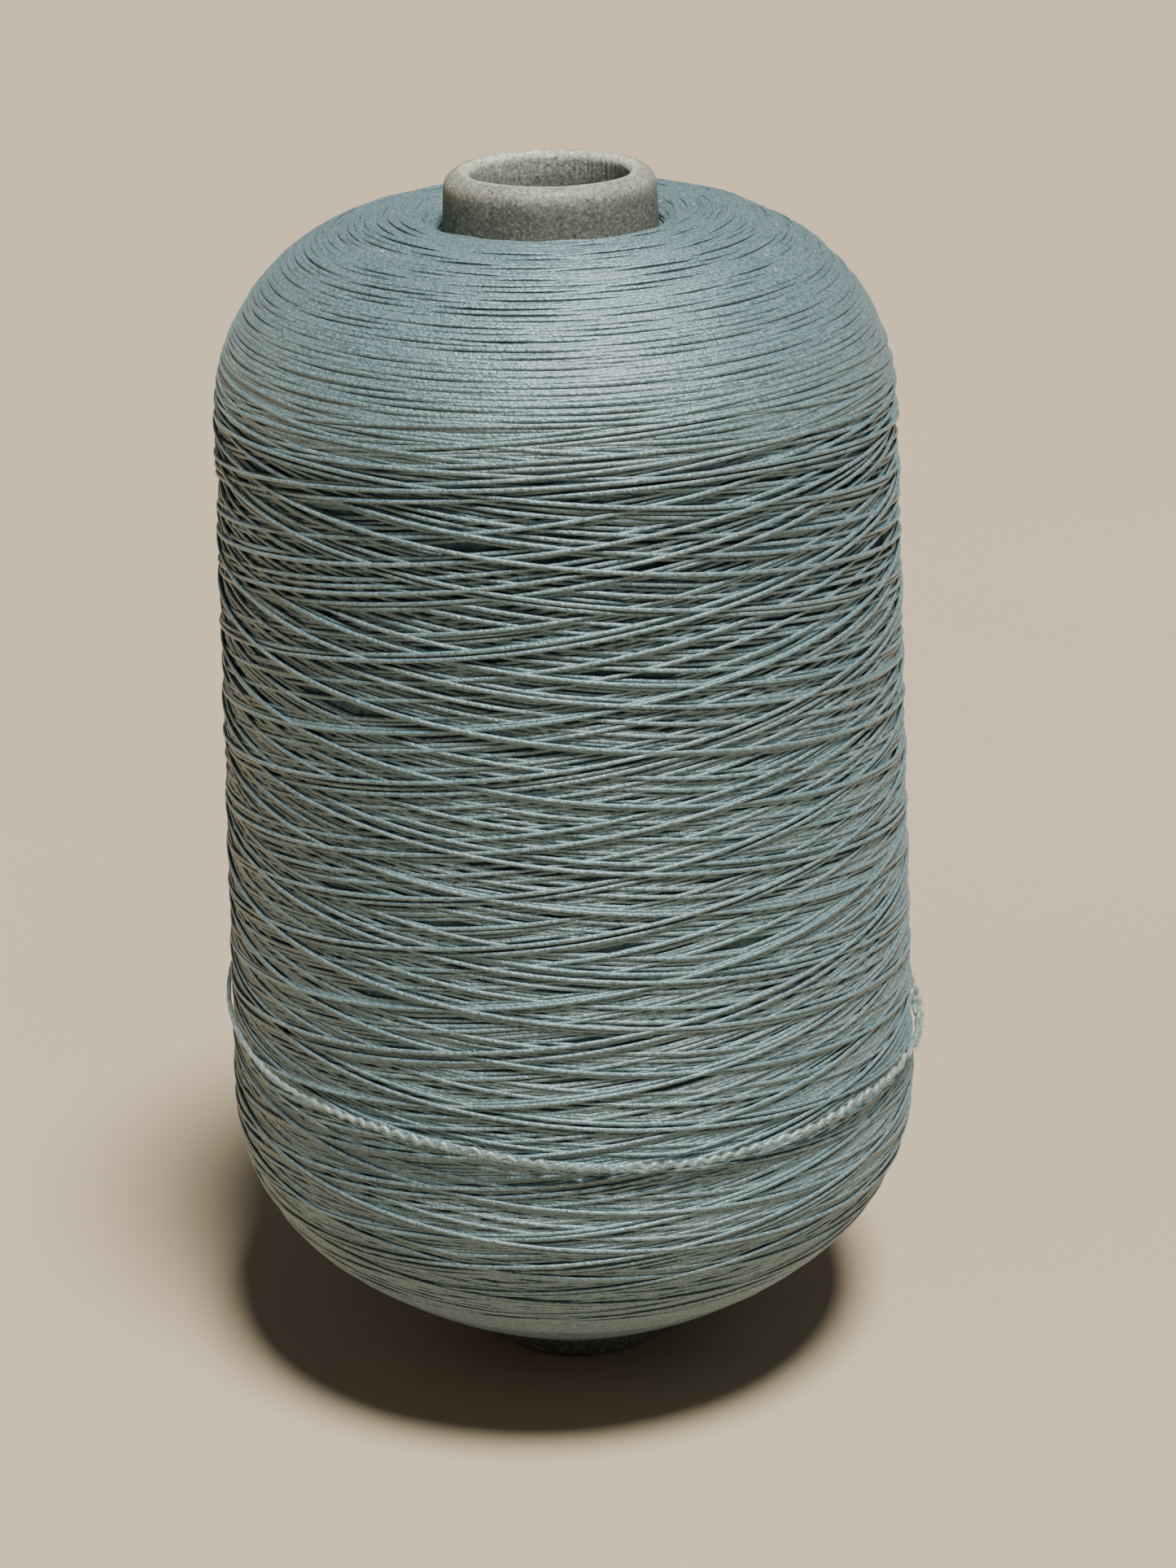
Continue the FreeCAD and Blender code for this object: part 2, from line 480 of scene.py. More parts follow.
# %% Map of the free room, and one pass of thread
THREAD_WIDTH = 0.00066
THREAD_HEIGHT = 0.00058     # it is pressed a little flat
MAP_STEP = 0.0001
MAP_COLUMNS = 1440
FOOT_END = 0.0220           # the height where the strokes turn back below
CROWN_END = 0.1455          # and above
# How deep the surface's relief is, at heights from the foot to the crown
RELIEF = [(FOOT_END - 0.0005, 0.0002), (FOOT_END + 0.002, 0.0004), (0.045, 0.00055),
          (0.070, 0.0006), (0.105, 0.0007), (0.125, 0.0011), (CROWN_END - 0.001, 0.0011),
          (CROWN_END + 0.002, 0.0004)]
SIDEWAYS_COST = 0.00005     # a place one thread width aside has to be this much roomier
map_rows = int(outline_length / MAP_STEP) + 1
level_at = np.arange(map_rows) * MAP_STEP
room_map = np.zeros((map_rows, MAP_COLUMNS))
covered = np.zeros((map_rows, MAP_COLUMNS), bool)


def relief_at(along):
    """The depth that turns are pressed together above, at that distance up the outline."""
    heights, depths = zip(*RELIEF)
    return np.interp(along, [along_at_height(height) for height in heights], depths)


def cells(turn, along):
    """The map's row and column at each place."""
    row = np.clip(np.round(along / MAP_STEP).astype(int), 0, map_rows - 1)
    column = np.round(turn * MAP_COLUMNS / (2 * np.pi)).astype(int) % MAP_COLUMNS
    return tuple(np.broadcast_arrays(row, column))


def lowest_near(values, reach):
    """The lowest value up to that many places away."""
    padded = np.pad(values, reach, mode="edge")
    return np.lib.stride_tricks.sliding_window_view(padded, 2 * reach + 1).min(1)


def tuck_pass(turn, along, slip, taut, pressed, squeezed, proud=0.0):
    """Puts one pass under the map; returns (turn, along, lift of its middle, whether it shows).

    slip is how far it may move sideways, taut over how many samples it stays straight. pressed
    and squeezed are the shares of its height and width that other turns have to leave free, and
    proud is how far it stands over the surface.
    Lift = lowest over the width of (map - half height x sqrt(1 - (offset / half width) squared)).
    """
    across = np.linspace(-0.85, 0.85, 7)    # places over the width, as shares of its half
    rise = pressed * THREAD_HEIGHT / 2 * np.sqrt(1 - across ** 2)
    half_width = squeezed * THREAD_WIDTH / 2
    shifts = np.linspace(-slip, slip, 9)
    tried = along[:, None, None] + shifts[:, None] + across * half_width
    room = (room_map[cells(turn[:, None, None], tried)] - rise).min(2)
    gain = blurred(room, taut) - SIDEWAYS_COST * (shifts / THREAD_WIDTH) ** 2
    along = along + blurred(shifts[gain.argmax(1)], taut)
    room = (room_map[cells(turn[:, None], along[:, None] + across * half_width)] - rise).min(1)
    lift = blurred(lowest_near(room, 2), 2)
    wide = np.linspace(-0.95, 0.95, 9)      # the same, closer together, for the map
    seen = ~covered[cells(turn[:, None], along[:, None] + 0.6 * wide * THREAD_WIDTH)].all(1)
    fine = np.linspace(0, len(turn) - 1, (len(turn) - 1) * 12 + 1)
    at = np.arange(len(turn))
    fine_turn, fine_along, fine_lift = (np.interp(fine, at, v)[:, None] for v in (turn, along, lift))
    under = fine_lift - pressed * THREAD_HEIGHT / 2 * np.sqrt(1 - wide ** 2)
    np.minimum.at(room_map, cells(fine_turn, fine_along + wide * half_width), under)
    covered[cells(fine_turn, fine_along + wide * THREAD_WIDTH / 2)] = True
    relief = relief_at(along)
    lift = relief * (np.exp(np.minimum(lift, 0) / relief) - 1)
    return turn, along, lift + proud, seen


# %% [markdown]
# ## Three kinds of turns
#
# The side is covered by long strokes, one unbroken line that goes up and down the package.
# They climb some six degrees, less near the foot, and cross those that come down. The winder
# shortens its stroke as the package grows, so the places where it turned back form the crown
# and the foot. There the thread runs almost level, and of each pass only the turn-back shows,
# because later passes cover the rest. Whole strokes could be laid for all of them, but nearly
# all of that would be buried, so crown and foot are made of turn-backs alone. In reversed
# time the strokes come first, and then the turn-backs, from the side inwards to the tube.

# %% Long strokes over the side
STROKES = 84                # up and down again counts as one
SAMPLE_LENGTH = 0.0017      # between two points of a pass
CROSS_ANGLE = math.radians(6.2)
ROUNDING = 0.990            # 1 would turn back in a sharp corner
LEVELLING = 1.25            # over 1, the strokes run more level near the foot
PROUD = 0.00016             # how far the very last stroke stands over the surface
PROUD_STROKES = 9           # those before it stand less and less proud
EARLIER_ABOVE = 0.007       # the first strokes reached this much further up
EARLIER_BELOW = 0.006       # and down
SCATTER_ABOVE = 0.0016      # how unevenly they end
SCATTER_BELOW = 0.0004
TURN_SHARE = 0.618          # of a turn left over, so each stroke starts well away from the last
TURN_SCATTER = 0.02
STRAY = 0.0006              # how far a stroke strays from its even climb
TOP_GAP = 0.0015            # the last strokes stop this far below the crown's first turn-backs
FOOT_GAP = 0.001            # and above the foot's
rng = np.random.default_rng(21)
side_radius = float(outline[:, 0].max())
top_limit = along_at_height(CROWN_END - TOP_GAP)
foot_limit = along_at_height(FOOT_END + FOOT_GAP)
turns_per_stroke = 2 * (top_limit - foot_limit) / (2 * np.pi * side_radius * math.tan(CROSS_ANGLE))
cross_passes = []
turned = 0.0
for k in range(STROKES):
    high = top_limit + EARLIER_ABOVE * k / STROKES + rng.normal() * SCATTER_ABOVE
    low = foot_limit - EARLIER_BELOW * k / STROKES + rng.normal() * SCATTER_BELOW
    turns = math.floor(turns_per_stroke) + TURN_SHARE + rng.normal() * TURN_SCATTER
    turn = np.arange(0, turns * 2 * np.pi + 0.05, SAMPLE_LENGTH / side_radius)
    wave = -np.cos(turn / turns)
    share = np.clip(0.5 + 0.5 * np.arcsin(ROUNDING * wave) / math.asin(ROUNDING), 0, 1)
    along = low + (high - low) * share ** LEVELLING
    along = along + STRAY * wander(len(turn), 50, rng)
    proud = PROUD * max(0.0, 1 - k / PROUD_STROKES)
    laid = tuck_pass(turn + turned, along, slip=0.00026, taut=10, pressed=0.7, squeezed=0.8, proud=proud)
    cross_passes.append((*laid, rng.uniform()))
    turned += turns * 2 * np.pi
print(len(cross_passes), "strokes of", round(float(turns_per_stroke), 1), "turns")

# %% Turn-backs of the foot and the crown
foot_end = along_at_height(FOOT_END)
crown_end = along_at_height(CROWN_END)
FOOT_STEP = 0.00035         # the strokes' lowest turns lie on the foot as a small step
FOOT_STEP_WIDTH = 0.001
GOLDEN_ANGLE = 2.39996      # from one turn-back to the next, so that they spread evenly
EDGE_MARGIN = 0.0003        # they stay this far inside the outline's two ends
TUCK_DEPTH = 0.0006         # how deep their ends dip under the others
TUCK_ANGLE = 0.25           # over this last part of their turn, in radians
below_step = np.clip((foot_end - FOOT_STEP_WIDTH - level_at) / FOOT_STEP_WIDTH, 0, 1)
room_map -= (FOOT_STEP * below_step)[:, None]


def turn_backs(first, last, count, downwards, angle, width=1.9):
    """Puts that many turn-backs under the map, from first to last along the outline.

    Distance from the limit = radius x tan(angle) x (sqrt(bend squared + width squared) - width),
    where bend is the angle about the tube from the place where the thread turns back.
    """
    made = []
    for k in range(count):
        limit = first + (last - first) * (k + rng.uniform(-0.5, 0.5)) / count
        half = rng.uniform(1.3, 2.0)
        radius = float(np.interp(limit, outline_at, outline[:, 0]))
        step = min(SAMPLE_LENGTH / radius, math.radians(5))
        bend = np.linspace(-half, half, int(2 * half / step) + 1)
        fall = radius * math.tan(math.radians(angle)) * (np.sqrt(bend ** 2 + width ** 2) - width)
        turn = bend + k * GOLDEN_ANGLE + rng.uniform(-0.3, 0.3)
        along = limit + (-fall if downwards else fall) + 0.0001 * wander(len(bend), 12, rng)
        along = np.clip(along, EDGE_MARGIN, outline_length - EDGE_MARGIN)
        turn, along, lift, seen = tuck_pass(turn, along, slip=0.0002, taut=6, pressed=0.4, squeezed=0.5)
        sink = np.clip(1 - (half - np.abs(bend)) / TUCK_ANGLE, 0, 1) ** 2
        made.append((turn, along, lift - TUCK_DEPTH * sink, seen, rng.uniform()))
    return made


FIRST_TURN = 0.0006         # the turns next to the tube keep this far from the outline's ends
foot_passes = turn_backs(foot_end, FIRST_TURN, 560, downwards=False, angle=1.5)
crown_passes = turn_backs(crown_end, outline_length - FIRST_TURN, 620, downwards=True, angle=4.0)
for place, *heights in (("side", 0.05, 0.12), ("crown", 0.145, 0.165), ("foot", 0.01, 0.02)):
    rows = slice(*(int(along_at_height(height) / MAP_STEP) for height in heights))
    print(place, "bare share", round(float(1 - covered[rows].mean()), 4), "deepest",
          round(float(np.percentile(room_map[rows], 5)) * 1000, 2), "mm")

# %% Tubes of the passes
SECTION = np.radians([8, 50, 90, 130, 172, 270])    # finer on the outside than underneath
THREAD_UNEVEN = 0.06        # how much a thread's thickness varies along it


def shown_runs(seen, shortest=9):
    """Starts and ends of the stretches that show, or are close to one that shows."""
    shown = np.convolve(seen, np.ones(9), "same") > 0
    edges = np.flatnonzero(np.diff(np.concatenate([[0], shown.astype(int), [0]])))
    return [(a, b) for a, b in edges.reshape(-1, 2) if b - a > shortest]


def strands(passes, wider=1.0, higher=1.0):
    """The tubes of these passes, without what is buried; wider and higher scale their section."""
    tubes = []
    for turn, along, lift, seen, tone in passes:
        for a, b in shown_runs(seen):
            centres, out = on_package(turn[a:b], along[a:b], lift[a:b])
            _, outward, sideways = frame_along(centres, out)
            uneven = 1 + THREAD_UNEVEN * wander(b - a, 4, rng)
            tubes.append((centres, sideways, outward, wider * THREAD_WIDTH / 2 * uneven,
                          higher * THREAD_HEIGHT / 2 * uneven, lengths_along(centres), tone))
    return tubes


def in_pieces(name, tubes):
    """The tubes as meshes of about equal size, each under RINGS_PER_PIECE rings."""
    rings = np.cumsum([len(tube[0]) for tube in tubes])
    count = math.ceil(rings[-1] / RINGS_PER_PIECE)
    share = ((rings - 1) * count // rings[-1]).tolist()
    return [tubes_object(f"{name}_{k + 1}", [tube for tube, own in zip(tubes, share) if own == k], SECTION)
            for k in range(count)]


# %% Meshes of the turns
RINGS_PER_PIECE = 14500     # 12 triangles a ring keep a piece under 200,000
wound = (in_pieces("foot_turns", strands(foot_passes, wider=1.9, higher=0.5))
         + in_pieces("crown_turns", strands(crown_passes, wider=1.1, higher=0.75))
         + in_pieces("cross_turns", strands(cross_passes)))

# %% Inner body of the package
BASE_COLUMNS = 240
BASE_ROWS = 190
BASE_DEPTH = 0.0001         # how far it lies below the deepest gap
base_turns = np.linspace(0, 2 * np.pi, BASE_COLUMNS, endpoint=False)
base_at = np.linspace(0, outline_length, BASE_ROWS)
grid_turn, grid_at = np.meshgrid(base_turns, base_at)
base_points, _ = on_package(grid_turn, grid_at, -relief_at(grid_at) - BASE_DEPTH)
ring = np.stack([np.cos(base_turns), np.sin(base_turns), 0 * base_turns], -1) * core_radius
base_points = np.concatenate([(ring + [0, 0, base_points[0, 0, 2]])[None], base_points,
                              (ring + [0, 0, base_points[-1, 0, 2]])[None]])
# Its finish is painted shade of the thread deep in the gaps.
base = grid_object("winding_base", base_points, closed_rows=True)
print("winding_base", len(base.data.polygons), "faces")

# %% [markdown]
# ## The paper tube
#
# The tube is wound from paper. A machine has rolled the wall in at its top end and pressed
# it against a former, so that the thread slides over a smooth, rounded nose. Outside, the
# nose is pressed hard and slightly burnished; inside the mouth the wall had to shrink, so
# the paper stands in some eighty fine upright pleats. A Screw modifier could turn the
# profile about the axis, but the pleats need every point of the mouth to move by itself, so
# profile and turn make a grid of points, and the pleats are small shifts towards the axis
# that fade out at the mouth's rim and at the lip's lower edge.

# %% Profile of the tube
NOSE_TAPER = 0.009          # the nose draws in over this length
NOSE_DRAW_IN = 0.0004       # by this much all round
NOSE_ZONE = 0.0105          # points are close together this far down from the top
LIP_DEPTH = 0.006           # how far the rolled-in lip reaches down inside
tube_top = tube_high.z
bore = mounts["spindle_bore"]["dims"]["r_mm"] / 1000
mouth = mounts["nose_bore"]["dims"]["r_mm"] / 1000
nose_radius = core_radius - NOSE_DRAW_IN
# (distance from the axis, height, round, spacing of the points up to it)
TUBE_CORNERS = [
    (bore, 0, 0.0004, 0.004),
    (core_radius, 0, 0.0004, 0.0008),
    (core_radius, tube_top - NOSE_ZONE, 0.0, 0.004),
    (core_radius, tube_top - NOSE_TAPER, 0.004, 0.0003),
    (nose_radius, tube_top, 0.0023, 0.0003),
    (mouth, tube_top, 0.0011, 0.0003),
    (mouth, tube_top - LIP_DEPTH, 0.0005, 0.0003),
    (bore, tube_top - LIP_DEPTH, 0.0, 0.0003),
]


def rounded_profile(corners):
    """A closed outline through the corners, each one rounded by an arc, with points spaced as asked.

    A corner's arc touches both sides at round x tan(turn / 2) from the corner.
    """
    spots = np.array([corner[:2] for corner in corners])
    line = []
    for i, (_, _, radius, spacing) in enumerate(corners):
        here, before, after = spots[i], spots[i - 1], spots[(i + 1) % len(corners)]
        arriving = (here - before) / np.linalg.norm(here - before)
        leaving = (after - here) / np.linalg.norm(after - here)
        turn = math.acos(float(np.clip(arriving @ leaving, -1, 1)))
        reach = radius * math.tan(turn / 2)
        start = here - arriving * reach
        if line:
            gap = start - line[-1][-1]
            steps = max(1, round(float(np.linalg.norm(gap)) / spacing))
            line.append(line[-1][-1] + gap * np.linspace(0, 1, steps + 1)[1:-1, None])
        if radius:
            side = math.copysign(1, arriving[0] * leaving[1] - arriving[1] * leaving[0])
            centre = start + np.array([-arriving[1], arriving[0]]) * side * radius
            angle = np.linspace(0, turn, max(3, round(turn * radius / 0.0003)) + 1)[:, None]
            line.append(centre + radius * (np.sin(angle) * arriving - np.cos(angle)
                                           * np.array([-arriving[1], arriving[0]]) * side))
        else:
            line.append(here[None])
        line = [part for part in line if len(part)]
    last_gap = line[0][0] - line[-1][-1]
    steps = max(1, round(float(np.linalg.norm(last_gap)) / corners[0][3]))
    line.append(line[-1][-1] + last_gap * np.linspace(0, 1, steps + 1)[1:-1, None])
    return np.concatenate(line)


profile = rounded_profile(TUBE_CORNERS)
print("tube profile", len(profile), "points")

# %% Pleats of the mouth
TUBE_COLUMNS = 600
PLEATS = 85
PLEAT_DEPTH = 0.0001
PLEATED_TO = 0.0125         # this far below the top the pleats have faded out
PLEAT_FADE = 0.004          # over this much of the height
LIP_FULLNESS = 0.00003      # the lip swells a little between the pleats
CREST_LOW = 0.0002          # the pressed crest lies this much under the full height
CREST_UNEVEN = 0.00012      # and wavers by this much
NOSE_OUT_OF_ROUND = 0.00005
NOSE_REACH = 0.012          # and both fade out this far below the top
rng = np.random.default_rng(5)


def ring_noise(count, reach, generator):
    """Smooth chance round a closed ring, with values of about -1 to 1."""
    noise = blurred(np.tile(generator.normal(size=count), 3), reach)[count:2 * count]
    return (noise - noise.mean()) / np.abs(noise - noise.mean()).max()


turn = np.arange(TUBE_COLUMNS) * 2 * np.pi / TUBE_COLUMNS
radius = np.repeat(profile[:, :1], TUBE_COLUMNS, 1)
height = np.repeat(profile[:, 1:], TUBE_COLUMNS, 1)
below_top = tube_top - height
inner = np.clip((0.5 * (mouth + nose_radius) - radius) / (0.3 * (nose_radius - mouth)), 0, 1)
in_lip = inner * np.clip((PLEATED_TO - below_top) / PLEAT_FADE, 0, 1)
drift = 0.020 * ring_noise(TUBE_COLUMNS, 14, rng) + 0.012 * np.sin(below_top / 0.0011)
pleat = np.abs(np.sin((turn + drift) * PLEATS / 2 + 1.5 * ring_noise(TUBE_COLUMNS, 9, rng)))
strength = PLEAT_DEPTH * (0.75 + 0.5 * ring_noise(TUBE_COLUMNS, 4, rng))
radius = radius - in_lip * strength * (1 - pleat ** 0.6) + in_lip * LIP_FULLNESS
nose_part = np.clip(1 - below_top / NOSE_REACH, 0, 1)
uneven = CREST_UNEVEN * ring_noise(TUBE_COLUMNS, 40, rng) + 0.00003 * ring_noise(TUBE_COLUMNS, 7, rng)
height = height + nose_part * (uneven - CREST_LOW)
radius = radius + nose_part * NOSE_OUT_OF_ROUND * ring_noise(TUBE_COLUMNS, 30, rng) * (1 - inner)
tube = grid_object("paper_tube_pressed", np.stack(
    [radius * np.cos(turn), radius * np.sin(turn), height], -1)[:, ::-1], closed_rows=True)
print("tube", len(tube.data.polygons) * 2, "triangles")

# %% [markdown]
# ## Finishes
#
# Textured polyester is many fine filaments, loosely twisted and crimped. At this size they
# show as a fine slanting mottle, about half a thread wide: the thread's own colour where
# filaments lie together, and painted shade between them. Noise on Object coordinates would
# run straight through neighbouring threads, so the mottle is drawn in each thread's own UV
# map: metres along it, and its share round it. A node group turns those two numbers into
# filaments, with their bump and their painted shade, and both the wound thread and the
# loose end use it.


# %% Node helpers
def new_group(name, inputs, outputs):
    """An empty node group; inputs are (name, type, value) and outputs (name, type)."""
    tree = bpy.data.node_groups.new(name, "ShaderNodeTree")
    for label, kind, value in inputs:
        socket = tree.interface.new_socket(name=label, in_out="INPUT", socket_type=kind)
        socket.default_value = value
    for label, kind in outputs:
        tree.interface.new_socket(name=label, in_out="OUTPUT", socket_type=kind)
    return tree, tree.nodes.new("NodeGroupInput"), tree.nodes.new("NodeGroupOutput")


def node(tree, kind, values=None, **settings):
    """A node with its settings, and its inputs given as values or as other nodes' outputs."""
    made = tree.nodes.new("ShaderNode" + kind)
    for key, value in settings.items():
        setattr(made, key, value)
    for key, value in (values or {}).items():
        if isinstance(value, bpy.types.NodeSocket):
            tree.links.new(value, made.inputs[key])
        else:
            made.inputs[key].default_value = value
    return made


def math_node(tree, operation, *values):
    """The result of a math operation on numbers or outputs."""
    return node(tree, "Math", dict(enumerate(values)), operation=operation).outputs[0]


def scaled(tree, value, from_low, from_high, to_low, to_high):
    """value carried from one range to another, and kept inside it."""
    return node(tree, "MapRange", {"Value": value, "From Min": from_low, "From Max": from_high,
                                   "To Min": to_low, "To Max": to_high}).outputs["Result"]


def mixed(tree, factor, first, second, blend="MIX"):
    """Two colours mixed by a factor."""
    mix = node(tree, "Mix", {"Factor": factor}, data_type="RGBA", blend_type=blend)
    for place, colour in ((6, first), (7, second)):
        if isinstance(colour, bpy.types.NodeSocket):
            tree.links.new(colour, mix.inputs[place])
        else:
            mix.inputs[place].default_value = (*colour, 1)
    return mix.outputs[2]


def noise(tree, where, scale, detail=2.0, roughness=0.5):
    """Noise with values of about 0 to 1 at that place."""
    return node(tree, "TexNoise", {"Vector": where, "Scale": scale, "Detail": detail,
                                   "Roughness": roughness}).outputs["Fac"]


def new_material(name, **constants):
    """A material and its Principled shader, with constants set on the shader's own sockets."""
    material = bpy.data.materials.new(name)
    material.use_nodes = True
    shader = material.node_tree.nodes["Principled BSDF"]
    for key, value in constants.items():
        shader.inputs[key.replace("_", " ")].default_value = value
    return material, material.node_tree, shader


# %% Twisted filaments and their painted shade
tree, given, result = new_group(
    "filaments_and_painted_shade",
    [("Thread UV", "NodeSocketVector", (0, 0, 0)), ("Tone", "NodeSocketFloat", 0.5),
     ("Light", "NodeSocketColor", (0.3, 0.33, 0.33, 1)),
     ("Painted Shade", "NodeSocketColor", (0.05, 0.055, 0.05, 1)),
     ("Twist", "NodeSocketFloat", 700.0)],
    [("Color", "NodeSocketColor"), ("Height", "NodeSocketFloat")])
split = node(tree, "SeparateXYZ", {0: given.outputs["Thread UV"]})
own = math_node(tree, "MULTIPLY", given.outputs["Tone"], 37.0)
slant = math_node(tree, "ADD", math_node(tree, "MULTIPLY", split.outputs[0], given.outputs["Twist"]),
                  math_node(tree, "MULTIPLY", split.outputs[1], 1.6))
across = math_node(tree, "MULTIPLY", split.outputs[1], 5.0)
place = node(tree, "CombineXYZ", {0: slant, 1: across, 2: own}).outputs[0]
filament_noise = noise(tree, place, 1.0, detail=3.0, roughness=0.6)
long_place = node(tree, "CombineXYZ", {0: math_node(tree, "MULTIPLY", split.outputs[0], 60.0),
                                       1: own, 2: 0.0}).outputs[0]
patches = noise(tree, long_place, 1.0)
# The thread's colour shows where the filament noise is high; below that the darker colour is painted shade
# between the filaments.
lit = scaled(tree, filament_noise, 0.36, 0.66, 0.0, 1.0)
lit = math_node(tree, "MULTIPLY", lit, scaled(tree, patches, 0.3, 0.7, 0.8, 1.0))
tree.links.new(mixed(tree, lit, given.outputs["Painted Shade"], given.outputs["Light"]), result.inputs["Color"])
tree.links.new(filament_noise, result.inputs["Height"])
filaments_and_painted_shade = tree


# %% Thread
FILAMENT_RELIEF = 0.00025   # how far the bump raises the filaments


def thread_material(name, light, warm, painted_shade, twist, bump):
    """Thread of that light and warmer colour, with the third colour as painted shade between its
    filaments; tone picks between light and warm.

    twist is how many filament widths pass in a metre of thread, and bump their strength.
    """
    material, tree, shader = new_material(name, Roughness=0.37, Sheen_Weight=0.05,
                                          Sheen_Roughness=0.5, Specular_IOR_Level=1.0, IOR=1.6,
                                          Specular_Tint=(0.78, 1.0, 1.0, 1))
    tone = node(tree, "Attribute", attribute_name="tone").outputs["Fac"]
    uv = node(tree, "UVMap", uv_map="UVMap").outputs["UV"]
    body = mixed(tree, tone, light, warm)
    filaments = node(tree, "Group", node_tree=filaments_and_painted_shade)
    tree.links.new(uv, filaments.inputs["Thread UV"])
    tree.links.new(tone, filaments.inputs["Tone"])
    tree.links.new(body, filaments.inputs["Light"])
    filaments.inputs["Painted Shade"].default_value = (*painted_shade, 1)
    filaments.inputs["Twist"].default_value = twist
    tree.links.new(filaments.outputs["Color"], shader.inputs["Base Color"])
    raised = node(tree, "Bump", {"Height": filaments.outputs["Height"], "Strength": bump,
                                 "Distance": FILAMENT_RELIEF})
    tree.links.new(raised.outputs["Normal"], shader.inputs["Normal"])
    return material


# The third colour of each thread is painted shade, put between its filaments.
wound_finish = thread_material("wound_thread", (0.162, 0.250, 0.280), (0.184, 0.250, 0.270),
                               (0.038, 0.073, 0.083), 1900.0, 0.9)
loose_finish = thread_material("relaxed_thread", (0.22, 0.30, 0.305), (0.26, 0.31, 0.295),
                               (0.105, 0.15, 0.15), 900.0, 0.6)

# %% Thread deep between the turns, in painted shade
painted_thread_shade, tree, shader = new_material("thread_below_painted_shade", Roughness=0.95, Specular_IOR_Level=0.1)
where = node(tree, "TexCoord").outputs["Object"]
below = scaled(tree, noise(tree, where, 900.0), 0.35, 0.65, 0.0, 1.0)
# These teal colours, far darker than the thread's own, are painted shade of the thread that lies deep in
# the gaps.
tree.links.new(mixed(tree, below, (0.04, 0.072, 0.08), (0.095, 0.15, 0.16)),
               shader.inputs["Base Color"])

# %% [markdown]
# ## Cardboard
#
# The board is pressed from recycled paper: grey-brown pulp with clouds, light and dark
# flecks, pale fibres and a few black specks. Several noises of different sizes, mixed one
# over the other, do that; one noise alone would look like stone. Where the former has
# pressed the nose, the board shines a little, more on its pale flecks. The nose's colour is
# also made paler, as painted light, and the mouth's pleats paler still, as painted light
# inside the mouth.

# %% Pressed cardboard
MOTTLE_SCALE = 2000.0
PULP = (0.096, 0.097, 0.081), (0.127, 0.129, 0.110)
DARK_FLECKS = (0.05, 0.045, 0.032)
PALE_FLECKS = (0.25, 0.25, 0.21)
PALE_FIBRES = (0.30, 0.30, 0.26)
BLACK_SPECKS = (0.03, 0.027, 0.02)
# Painted light: the colour is made paler by these shares on the nose and inside the mouth.
NOSE_PAINTED_LIGHT = 0.8
MOUTH_PAINTED_LIGHT = 1.5
DULL = 0.75                 # the roughness of the unpressed board
card_finish, tree, shader = new_material("pressed_cardboard", Specular_IOR_Level=0.2)
where = node(tree, "TexCoord").outputs["Object"]
clouds = scaled(tree, noise(tree, where, 260.0, 4.0, 0.6), 0.3, 0.7, 0.0, 1.0)
card = mixed(tree, clouds, *PULP)
mottle = noise(tree, where, MOTTLE_SCALE, 5.0, 0.75)
card = mixed(tree, scaled(tree, mottle, 0.36, 0.5, 0.8, 0.0), card, DARK_FLECKS)
card = mixed(tree, scaled(tree, mottle, 0.52, 0.66, 0.0, 0.8), card, PALE_FLECKS)
fibres = scaled(tree, noise(tree, where, 2600.0, 2.0), 0.64, 0.70, 0.0, 0.4)
card = mixed(tree, fibres, card, PALE_FIBRES)
specks = node(tree, "TexVoronoi", {"Vector": where, "Scale": 900.0, "Randomness": 1.0})
rare = scaled(tree, noise(tree, where, 420.0), 0.58, 0.62, 0.0, 1.0)
spot = math_node(tree, "MULTIPLY", scaled(tree, specks.outputs["Distance"], 0.16, 0.28, 0.8, 0.0), rare)
card = mixed(tree, spot, card, BLACK_SPECKS)
axes = node(tree, "SeparateXYZ", {0: where}).outputs
from_axis = math_node(tree, "SQRT", math_node(tree, "ADD", math_node(tree, "MULTIPLY", axes[0], axes[0]),
                                              math_node(tree, "MULTIPLY", axes[1], axes[1])))
on_nose = scaled(tree, axes[2], tube_top - 0.0035, tube_top - 0.001, 0.0, 1.0)
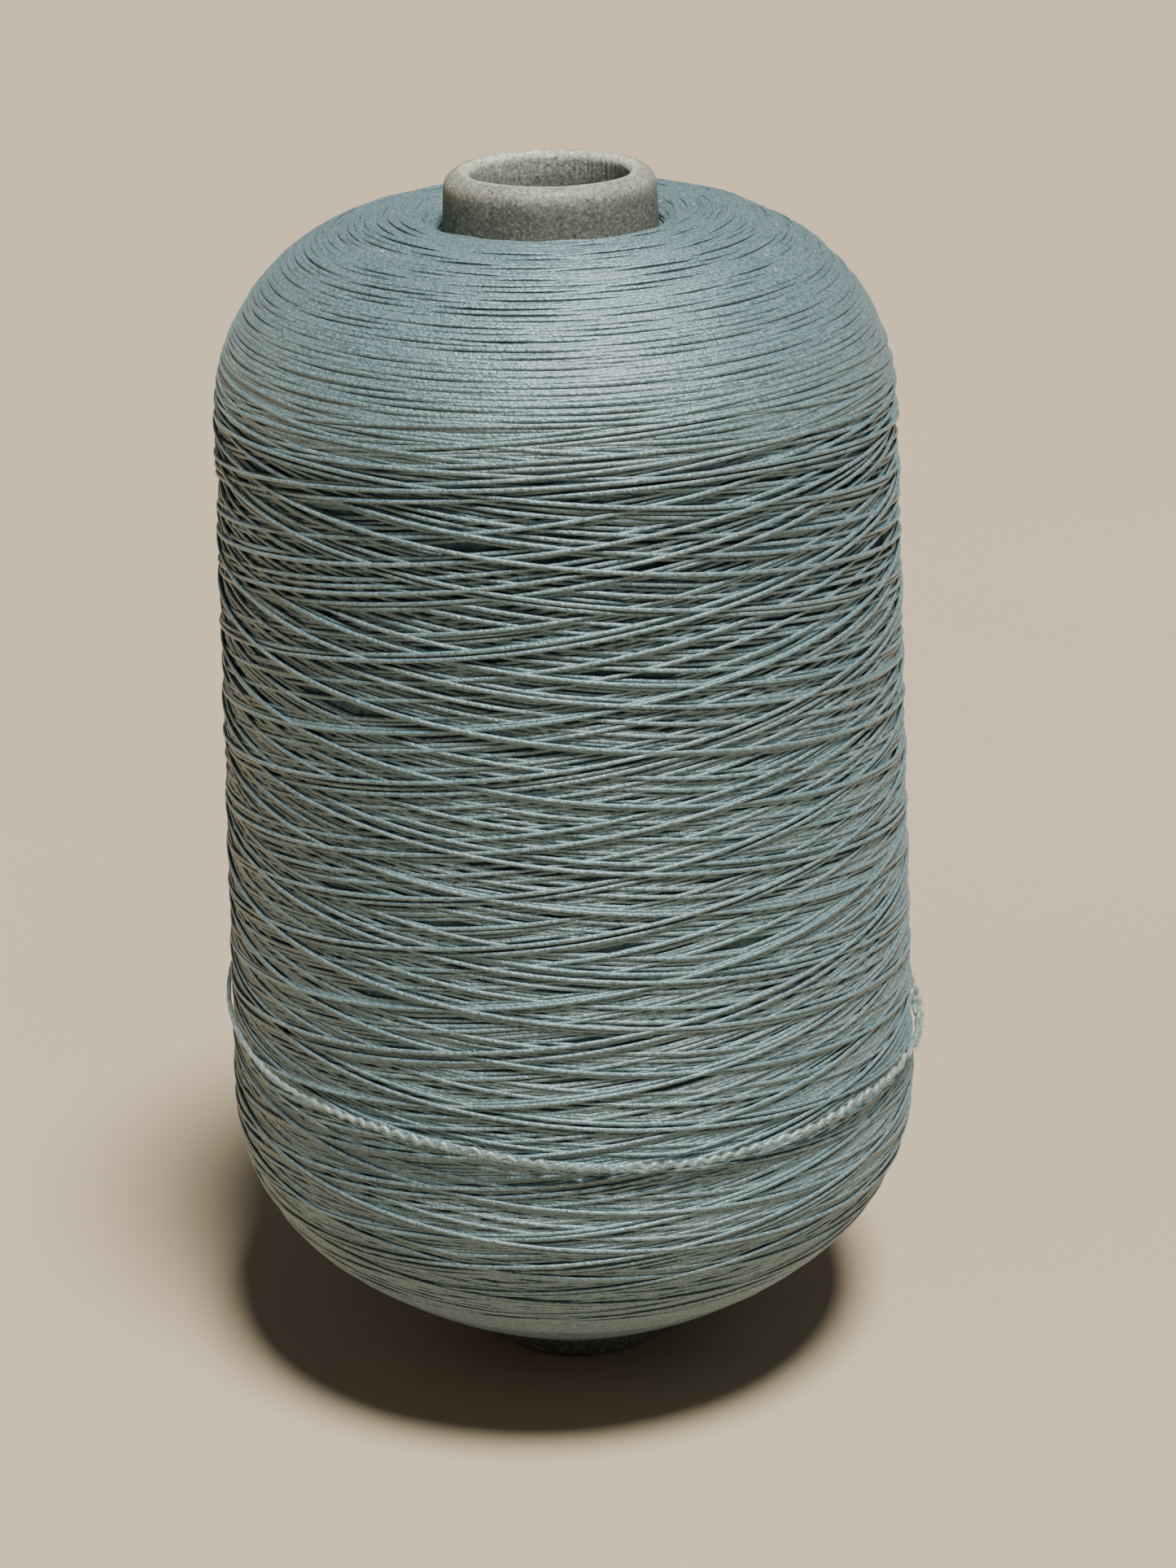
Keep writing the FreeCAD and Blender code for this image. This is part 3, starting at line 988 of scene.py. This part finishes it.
in_mouth = math_node(tree, "MULTIPLY", scaled(tree, from_axis, mouth + 0.0006, mouth + 0.0018, 1.0, 0.0),
                     scaled(tree, axes[2], tube_top - LIP_DEPTH, tube_top - 0.001, 0.0, 1.0))
# Painted light: the card's colour is scaled up on the nose and inside the mouth.
painted_light = math_node(tree, "ADD", math_node(tree, "MULTIPLY_ADD", on_nose, NOSE_PAINTED_LIGHT, 1.0),
                  math_node(tree, "MULTIPLY", in_mouth, MOUTH_PAINTED_LIGHT))
card = node(tree, "VectorMath", {0: card, "Scale": painted_light}, operation="SCALE").outputs[0]
tree.links.new(card, shader.inputs["Base Color"])
smooth = scaled(tree, mottle, 0.40, 0.65, 0.60, 0.40)
pressed_by = math_node(tree, "MULTIPLY", on_nose, math_node(tree, "SUBTRACT", DULL, smooth))
tree.links.new(math_node(tree, "SUBTRACT", DULL, pressed_by), shader.inputs["Roughness"])
grain = noise(tree, where, 1800.0, 4.0, 0.6)
raised = node(tree, "Bump", {"Height": grain, "Strength": 0.5, "Distance": 0.0002})
tree.links.new(raised.outputs["Normal"], shader.inputs["Normal"])

# %% Floor
floor_finish, tree, shader = new_material("pale_floor", Roughness=0.6, Specular_IOR_Level=0.3)
where = node(tree, "TexCoord").outputs["Object"]
soft = scaled(tree, noise(tree, where, 3.0), 0.3, 0.7, 0.0, 1.0)
tree.links.new(mixed(tree, soft, (0.38, 0.295, 0.205), (0.40, 0.315, 0.22)), shader.inputs["Base Color"])
floor.data.materials.append(floor_finish)

# %% [markdown]
# ## What each piece stands for
#
# The spool is one rigid body, so every piece rides on it. The pressed tube, the turns and the
# loose end take the place of the three CAD pieces, which are hidden and stay as they are
# for collision and mass. The halo goes with the loose end.

# %% Declarations
FINISH_OF = [(base, painted_thread_shade), (tube, card_finish), (tail, loose_finish), (tail_fuzz, loose_finish)]
for piece, finish in FINISH_OF + [(piece, wound_finish) for piece in wound]:
    piece.data.materials.append(finish)
for piece in wound + [base]:
    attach(piece, "root")
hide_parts("thread_winding")
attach(tube, "root")
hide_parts("paper_tube")
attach(tail, "root")
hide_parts("thread_tail")
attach(tail_fuzz, "root")
